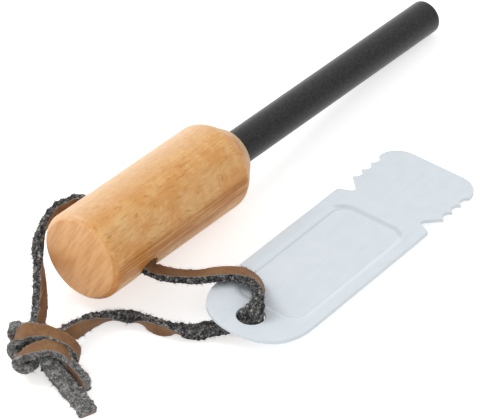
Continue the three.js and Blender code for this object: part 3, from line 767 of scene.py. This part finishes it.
sheet = Sheet()
hole = np.array(arc(0, 0, HOLE_RADIUS, 360, 0, 72))[:-1]
outer_top, outer_low = sheet.walls(edge_rings(outline))
hole_top, hole_low = sheet.walls(edge_rings(hole))
rim_top, floor_top = sheet.walls(flank_rings(SHEET), bent=1)
rim_low, floor_low = sheet.walls(flank_rings(0))
curved = len(sheet.faces)
sheet.fill(outer_top, hole_top, rim_top)
sheet.fill(outer_low, hole_low, rim_low)
sheet.fill(floor_top)
sheet.fill(floor_low)
points = [Vector(p) * MM for p in sheet.points]
striker = add_mesh("striker_stamped", points, sheet.faces, striker_frame)
bent = striker.data.attributes.new("bent", "FLOAT", "POINT")
bent.data.foreach_set("value", sheet.bent)
facing_out(striker)
striker.data.set_sharp_from_angle(angle=FOLD_ANGLE)
striker.data.polygons.foreach_set("use_smooth", [k < curved for k in range(len(sheet.faces))])
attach(striker, "striker")
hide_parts("striker_plate")
print("striker faces:", len(striker.data.polygons))

# %% [markdown]
# ## Sums on sockets
# A material is easier to read as sums than as a web of nodes. One class wraps a socket, and its
# operators add Math nodes. The other makes any other node in one call.

# %% Wrap sockets and nodes
class Socket:
    """One output of a node. Sums and products of it make new nodes."""

    def __init__(self, surface, output):
        self.surface = surface
        self.output = output

    def math(self, operation, *values):
        return self.surface.node("Math", dict(enumerate(values)), operation=operation)

    def __add__(self, other):
        return self.math("ADD", self, other)

    def __sub__(self, other):
        return self.math("SUBTRACT", self, other)

    def __rsub__(self, other):
        return self.math("SUBTRACT", other, self)

    def __mul__(self, other):
        return self.math("MULTIPLY", self, other)

    __radd__ = __add__
    __rmul__ = __mul__

    def fraction(self):
        """The part after the point, so a steady rise becomes a saw."""
        return self.math("FRACT", self)

    def between(self, low, high):
        """0 below low, 1 above high, and smooth between. Low may be the greater one."""
        if low > high:
            return 1 - self.between(high, low)
        inputs = {"Value": self, "From Min": low, "From Max": high}
        return self.surface.node("MapRange", inputs, interpolation_type="SMOOTHSTEP")


class Surface:
    """The nodes of one material, or of the world."""

    def __init__(self, name, library=bpy.data.materials):
        self.owner = library.new(name)
        self.owner.use_nodes = True
        self.tree = self.owner.node_tree
        self.tree.nodes.clear()

    def node(self, kind, inputs=None, output=0, stops=None, **settings):
        """Make a node: its settings first, then its ramp's stops, then its sockets."""
        made = self.tree.nodes.new("ShaderNode" + kind)
        for name, value in settings.items():
            setattr(made, name, value)
        if stops:
            ramp = made.color_ramp
            while len(ramp.elements) < len(stops):
                ramp.elements.new(1.0)
            for element, (place, colour) in zip(ramp.elements, stops):
                element.position = place
                element.color = colour
        for name, value in (inputs or {}).items():
            if isinstance(value, Socket):
                self.tree.links.new(value.output, made.inputs[name])
            else:
                made.inputs[name].default_value = value
        return Socket(self, made.outputs[output])

    def places(self, x=1, y=1, z=1):
        """The piece's own coordinates in mm, each stretched by its number."""
        local = self.node("TexCoord", output="Object")
        return self.node("Mapping", {"Vector": local, "Scale": (x / MM, y / MM, z / MM)})

    def along(self, *direction):
        """How far along a direction a place lies, in mm."""
        inputs = {0: self.places(), 1: direction}
        return self.node("VectorMath", inputs, output="Value", operation="DOT_PRODUCT")

    def combine(self, x, y, z):
        return self.node("CombineXYZ", {"X": x, "Y": y, "Z": z})

    def noise(self, waves, detail=3.0, roughness=0.5):
        """Noise of so many waves per mm: one number, one for each axis, or a socket of places."""
        places = waves if isinstance(waves, Socket) else self.places(*np.broadcast_to(waves, 3))
        inputs = {"Vector": places, "Scale": 1.0, "Detail": detail, "Roughness": roughness}
        return self.node("TexNoise", inputs)

    def ramp(self, value, *stops):
        """A colour for a value, from (value, colour) stops."""
        return self.node("ValToRGB", {"Fac": value}, output="Color", stops=stops)

    def mix(self, share, a, b):
        return self.node("Mix", {0: share, 6: a, 7: b}, output=2, data_type="RGBA")

    def over(self, base, *coats):
        """A colour with others laid over it, each given as its share and its colour."""
        for share, colour in coats:
            base = self.mix(share, base, colour)
        return base

    def bump(self, height, distance):
        return self.node("Bump", {"Height": height, "Distance": distance, "Strength": 1.0})

    def finish(self, *pieces, **inputs):
        """Make the surface shader and paint the pieces. Its sockets' names take underscores."""
        named = {name.replace("_", " "): value for name, value in inputs.items()}
        self.end(self.node("BsdfPrincipled", named), *pieces)

    def end(self, shader, *pieces, kind="Material"):
        out = self.tree.nodes.new("ShaderNodeOutput" + kind)
        self.tree.links.new(shader.output, out.inputs["Surface"])
        for piece in pieces:
            piece.data.materials.clear()
            piece.data.materials.append(self.owner)


def srgb(*channels):
    """A colour as written on a screen, 0 to 255, as the light that it stands for."""
    shares = [value / 255 for value in channels]
    return (*(s / 12.92 if s <= 0.04045 else ((s + 0.055) / 1.055)**2.4 for s in shares), 1.0)


print("mid grey as light:", round(srgb(128, 128, 128)[0], 3))

# %% [markdown]
# ## Light and table
# The picture is a studio shot: white all round, a soft lamp from the upper left, and a faint
# shadow. The world is white where the camera or a shiny surface looks at it, and dimmer as a
# lamp, so that colours aren't washed out. The table belongs to the stage. It glows a little
# where it is looked at, so that it comes out white while its shadows stay.

# %% Set the world, the lamps and the table
WORLD_AMBIENT = 0.62
KEY_POWER = 5.5
FILL_POWER = 1.2
TABLE_HALF = 2.0
TABLE_GLOW = 0.56


def seen_by(surface, *kinds):
    """1 where a ray of one of these kinds looks, and 0 elsewhere."""
    seen = 0.0
    for kind in kinds:
        ray = surface.node("LightPath", output=f"Is {kind} Ray")
        seen = ray.math("MAXIMUM", seen, ray)
    return seen


def add_lamp(name, place, size, power):
    """A square soft lamp that looks at the object's middle."""
    data = bpy.data.lights.new(name, "AREA")
    data.size = size
    data.energy = power
    lamp = bpy.data.objects.new(name, data)
    lamp.location = place
    lamp.rotation_euler = (-Vector(place)).to_track_quat("-Z", "Y").to_euler()
    bpy.context.scene.collection.objects.link(lamp)


sky = Surface("studio", bpy.data.worlds)
looked_at = seen_by(sky, "Camera", "Glossy", "Transmission")
strength = sky.node("Mix", {"Factor": looked_at, "A": WORLD_AMBIENT, "B": 1.0}, output="Result")
sky_light = sky.node("Background", {"Color": (1, 1, 1, 1), "Strength": strength})
sky.end(sky_light, kind="World")
bpy.context.scene.world = sky.owner
add_lamp("key", (-0.25, 0.75, 0.85), 0.5, KEY_POWER)
add_lamp("fill", (-0.6, -0.6, 0.6), 0.8, FILL_POWER)
bpy.context.scene.view_settings.view_transform = "Standard"

corners = [(x * TABLE_HALF, y * TABLE_HALF, 0) for x, y in ((-1, -1), (1, -1), (1, 1), (-1, 1))]
table = add_mesh("table_top", corners, [(0, 1, 2, 3)])
floor = Surface("table")
pale = floor.node("BsdfDiffuse", {"Color": srgb(240, 240, 240)})
glow_strength = seen_by(floor, "Camera", "Glossy") * TABLE_GLOW
glow = floor.node("Emission", {"Color": (1, 1, 1, 1), "Strength": glow_strength})
floor.end(floor.node("AddShader", {0: pale, 1: glow}), table)
print("lamps in watts:", KEY_POWER, FILL_POWER)

# %% [markdown]
# ## The beech
# Beech shows its grain by its rays: thin blades of cells that point at the heart of the tree.
# One solid pattern, cut by the turned shape, gives all their looks: dashes where a blade meets
# the surface edge-on, and cloudy flecks where it lies flat. The year rings cross the rays at
# right angles.

# %% Mix the beech
TO_BARK = (0, 0.948, 0.318)
ROUND_TREE = (0, -0.318, 0.948)
YEARS_PER_MM = 1 / 1.9
GRAIN_BENDS = 8
wood = Surface("beech")
length, bark, around = wood.along(1, 0, 0), wood.along(*TO_BARK), wood.along(*ROUND_TREE)


def grain(lengthwise, outward, sideways, **settings):
    """Noise of so many waves per mm along the trunk, toward the bark and round the tree."""
    places = wood.combine(length * lengthwise, bark * outward, around * sideways)
    return wood.noise(places, **settings)


bend = (grain(0.04, 0.1, 0.1, detail=2) - 0.5) * GRAIN_BENDS
bent_bark, bent_around = bark + bend, around + bend
rays = wood.noise(wood.combine(length * 0.34, bent_bark * 1.8, bent_around * 3.1), detail=1)
dashes = rays.between(0.6, 0.74)
wide_rays = wood.noise(wood.combine(length * 0.5, bent_bark * 0.35, bent_around * 1.1), detail=2)
flecks, pale_flecks = wide_rays.between(0.52, 0.68), wide_rays.between(0.46, 0.32)
years = (bent_bark * YEARS_PER_MM).fraction()
late_wood = years.between(0.45, 0.95) * years.between(1.0, 0.95)
pores = grain(0.2, 3.0, 3.0, detail=2, roughness=0.6)
clouds = grain(0.13, 0.19, 0.19, roughness=0.6)
base = wood.mix(clouds.between(0.36, 0.64), srgb(238, 187, 122), srgb(228, 163, 92))
base = wood.over(
    base,
    (late_wood * 0.16, srgb(204, 138, 72)),
    (pale_flecks * 0.25, srgb(250, 208, 150)),
    (flecks * 0.24, srgb(212, 138, 72)),
    (dashes * 0.42, srgb(158, 98, 46)),
    (pores.between(0.5, 0.72) * 0.4, srgb(192, 130, 70)),
)
print("beech nodes so far:", len(wood.tree.nodes))

# %% [markdown]
# The upper side, away from the striker, is painted paler: a painted highlight from the lamp on
# that side. A dark band runs along the other side: grain lines, with painted shade where the
# barrel turns from the lamp. The butt's end grain drinks more oil, so it is warmer and plainer,
# with fine slanting lines. The cone was cut last and looks dry and pale.

# %% Add the painted highlight, the streak with its painted shade, the end grain and the cone
BUTT_FACE = (-58.3, -58.55)
EASING_FROM, EASING_TO = (-56.7, -57.3), (-58.58, -58.4)
CONE_FROM = (-3.25, -3.1)
# Painted highlight: the side toward the lamp is made paler.
painted_lit_side = wood.along(0, 0.79, 0.61) + (clouds - 0.5) * 8
wander = (wood.noise(wood.combine(length * 0.05, 0, 0), detail=1) - 0.5) * 0.7
streak_lines = grain(0.06, 0.9, 1.5, detail=2).between(0.36, 0.62)
# Painted shade with grain lines: a dark band along the side turned from the lamp.
streak_and_shade = (wood.along(0, -1, 0) + wander).between(11.3, 11.9) * (streak_lines * 0.65 + 0.35)
base = wood.over(
    base, (painted_lit_side.between(4, 12) * 0.6, srgb(244, 210, 172)), (streak_and_shade * 0.78, srgb(177, 101, 4))
)

end_years = grain(0.1, 0.55, 0.08, detail=2)
slant = bark + around * 0.18
end_places = wood.combine(length * 0.1, slant * 1.4, around * 0.14)
end_lines = wood.noise(end_places, detail=2, roughness=0.6)
end_rays = grain(0.3, 0.14, 2.1, detail=2, roughness=0.6)
end_grain = wood.over(
    wood.mix(end_years.between(0.42, 0.62) * 0.5, srgb(253, 194, 134), srgb(232, 162, 98)),
    (end_lines.between(0.46, 0.66) * 0.5, srgb(222, 148, 84)),
    (end_rays.between(0.5, 0.72) * 0.14, srgb(212, 150, 96)),
    (wood.along(0, 0.94, -0.34).between(0, 12) * 0.4, srgb(196, 134, 92)),
)
# Partly oiled end grain, partly painted shade: the eased edge is a deeper orange only on its side turned from the
# lamp.
eased_edge_shade = length.between(*EASING_FROM) * length.between(*EASING_TO)
eased_edge_shade = eased_edge_shade * wood.along(0, -1, -0.35).between(6, 11)
cone = length.between(*CONE_FROM)
base = wood.over(
    base,
    (length.between(*BUTT_FACE) * 0.9, end_grain),
    (eased_edge_shade * (clouds.between(0.3, 0.7) * 0.3 + 0.35), srgb(212, 128, 60)),
    (cone * 0.5, srgb(222, 196, 168)),
)
skin = (pores - 0.5) * 0.5 - dashes * 0.5 - late_wood * 0.1
wood.finish(
    handle,
    Base_Color=base,
    Roughness=0.46 + cone * 0.2 + dashes * 0.1 - pale_flecks * 0.08,
    Normal=wood.bump(skin, 0.035 * MM),
    Specular_IOR_Level=0.4, Coat_Weight=0.12, Coat_Roughness=0.3,
)
print("beech nodes:", len(wood.tree.nodes))

# %% [markdown]
# ## The rod and its glue
# The rod leaves its mould with a skin of black lacquer: satin, a little uneven, with faint
# lines along the bar. The broken edge at the tip lets a trace of grey through.

# %% Mix the lacquer and the glue
TIP_WEAR = (85.4, 86.2)
black = Surface("black_rod")
mottle = black.noise((0.9, 1.6, 1.6), detail=4, roughness=0.75)
cast_lines = black.noise((0.06, 2.6, 2.6), detail=2)
worn_tip = black.along(1, 0, 0).between(*TIP_WEAR) * black.noise(2).between(0.5, 0.66)
lacquer = black.mix(mottle.between(0.4, 0.62), srgb(3, 3, 4), srgb(36, 36, 38))
black.finish(
    rod,
    Base_Color=black.mix(worn_tip * 0.5, lacquer, srgb(70, 70, 72)),
    Roughness=0.3 + mottle * 0.16,
    Normal=black.bump(mottle * 0.6 + cast_lines * 0.4, 0.05 * MM),
    Specular_IOR_Level=0.17, Sheen_Weight=0.37, Sheen_Roughness=0.48,
)

glue = Surface("glue")
lumps = glue.noise(0.9, detail=4)
glue.finish(
    frame["nodes"]["rod_adhesive"],
    Base_Color=glue.mix(lumps.between(0.3, 0.7), srgb(50, 37, 29), srgb(82, 62, 46)),
    Roughness=0.34 + lumps * 0.2,
    Normal=glue.bump(lumps, 0.12 * MM),
)
print("lacquer nodes:", len(black.tree.nodes))

# %% [markdown]
# ## The steel
# The striker is tumbled after stamping, so it is matt: long faint lines from the rolling mill
# under a fine haze. Where the press bent the sheet, the flank of the recess is painted a shade
# brighter as a painted highlight, and darker towards the far end as painted shade, with a painted
# shadow line at its foot.

# %% Mix the steel
FAR_FLANK_SHADE = (RECESS_HIGH - 5, RECESS_HIGH - 2)
steel = Surface("tumbled_steel")
rolling = steel.noise((0.05, 3.0, 1.0), roughness=0.6)
haze = steel.noise((0.22, 0.3, 1.0))
peening = steel.noise(2.4, roughness=0.6)
bent = steel.node("Attribute", output="Fac", attribute_name="bent")
# Painted highlight on the recess's flank, with painted shade towards its far end.
flank_painted_light = bent.between(0.0, 0.4) * bent.between(0.9, 0.7)
# Painted shadow: a dark line in the crease at the flank's foot.
crease_shade = bent.between(0.74, 0.92) * bent.between(1.0, 0.97)
far_flank_shade = steel.along(1, 0, 0).between(*FAR_FLANK_SHADE)
steel_tone_and_painted_light = steel.over(
    steel.mix(haze.between(0.3, 0.7), srgb(223, 229, 234), srgb(220, 227, 232)),
    (rolling.between(0.4, 0.75) * 0.3, srgb(214, 221, 228)),
    (flank_painted_light, steel.mix(far_flank_shade, srgb(226, 233, 238), srgb(204, 211, 217))),
    (crease_shade * 0.7, srgb(209, 216, 224)),
)
steel.finish(
    striker,
    Base_Color=steel_tone_and_painted_light,
    Metallic=0.5,
    Roughness=0.72 + rolling * 0.08 + haze * 0.06,
    Normal=steel.bump(peening * 0.5 + rolling * 0.5, 0.012 * MM),
)
print("steel nodes:", len(steel.tree.nodes))

# %% [markdown]
# ## The leather
# The grain side is smooth brown with fine pores. The flesh side is a mat of grey and black
# fibres. Where the two meet, the knife leaves a thin pale line. The point attribute called flesh
# says which side a place is on. The knot and the loose ends are painted paler, as painted light
# where their flesh side faces up to the lamp.

# %% Mix the leather and the fibres
LIT_ENDS_SPAN = (88, 94)
hide = Surface("leather")
flesh = hide.node("Attribute", output="Fac", attribute_name="flesh")
# Painted light: the knot and the loose ends are made paler.
lit_ends = hide.along(-1, 0, 0).between(*LIT_ENDS_SPAN)
cells = hide.node("TexVoronoi", {"Vector": hide.places(), "Scale": 2.6}, output="Distance")
tan = hide.noise(0.22, roughness=0.6)
smudges = hide.noise(0.9, roughness=0.6)
mat = hide.noise(0.8, roughness=0.7)
tufts = hide.noise(2.1, detail=2, roughness=0.6)
speckle = mat * 0.55 + tufts * 0.45 + lit_ends * 0.045
brown = hide.mix(tan.between(0.35, 0.65), srgb(124, 84, 49), srgb(141, 103, 66))
brown = hide.mix(smudges.between(0.5, 0.72) * 0.45, brown, srgb(96, 64, 35))
grey = hide.ramp(
    speckle, (0.38, srgb(17, 17, 19)), (0.46, srgb(46, 46, 47)), (0.54, srgb(98, 97, 96)),
    (0.63, srgb(180, 178, 175)),
)
grey = hide.mix(lit_ends * 0.28, grey, srgb(134, 134, 133))
knife_line = flesh.between(0.08, 0.3) * flesh.between(0.85, 0.55)
colour = hide.over(
    brown, (flesh.between(0.25, 0.6), grey), (knife_line * 0.7, srgb(150, 144, 138))
)
hide_height = (1 - flesh) * (cells * 0.25 + smudges * 0.3) + flesh * speckle
hide.finish(
    *ALL_LACE,
    Base_Color=colour,
    Roughness=0.7 + flesh * 0.24 - smudges * 0.06,
    Normal=hide.bump(hide_height, 0.16 * MM),
    Specular_IOR_Level=0.3, Sheen_Weight=0.1,
)

fuzz = Surface("fibres")
# Painted light: the fibres at the knot and the loose ends are made paler.
fibres_lit_ends = fuzz.along(-1, 0, 0).between(*LIT_ENDS_SPAN)
fuzz_colour = fuzz.ramp(
    fuzz.noise(1.6, roughness=0.75) + fibres_lit_ends * 0.06,
    (0.36, srgb(30, 30, 32)), (0.5, srgb(84, 83, 82)), (0.66, srgb(176, 174, 170)),
)
fuzz.finish(*ALL_FIBRES, Base_Color=fuzz_colour, Roughness=0.9, Specular_IOR_Level=0.15)
print("leather nodes:", len(hide.tree.nodes))
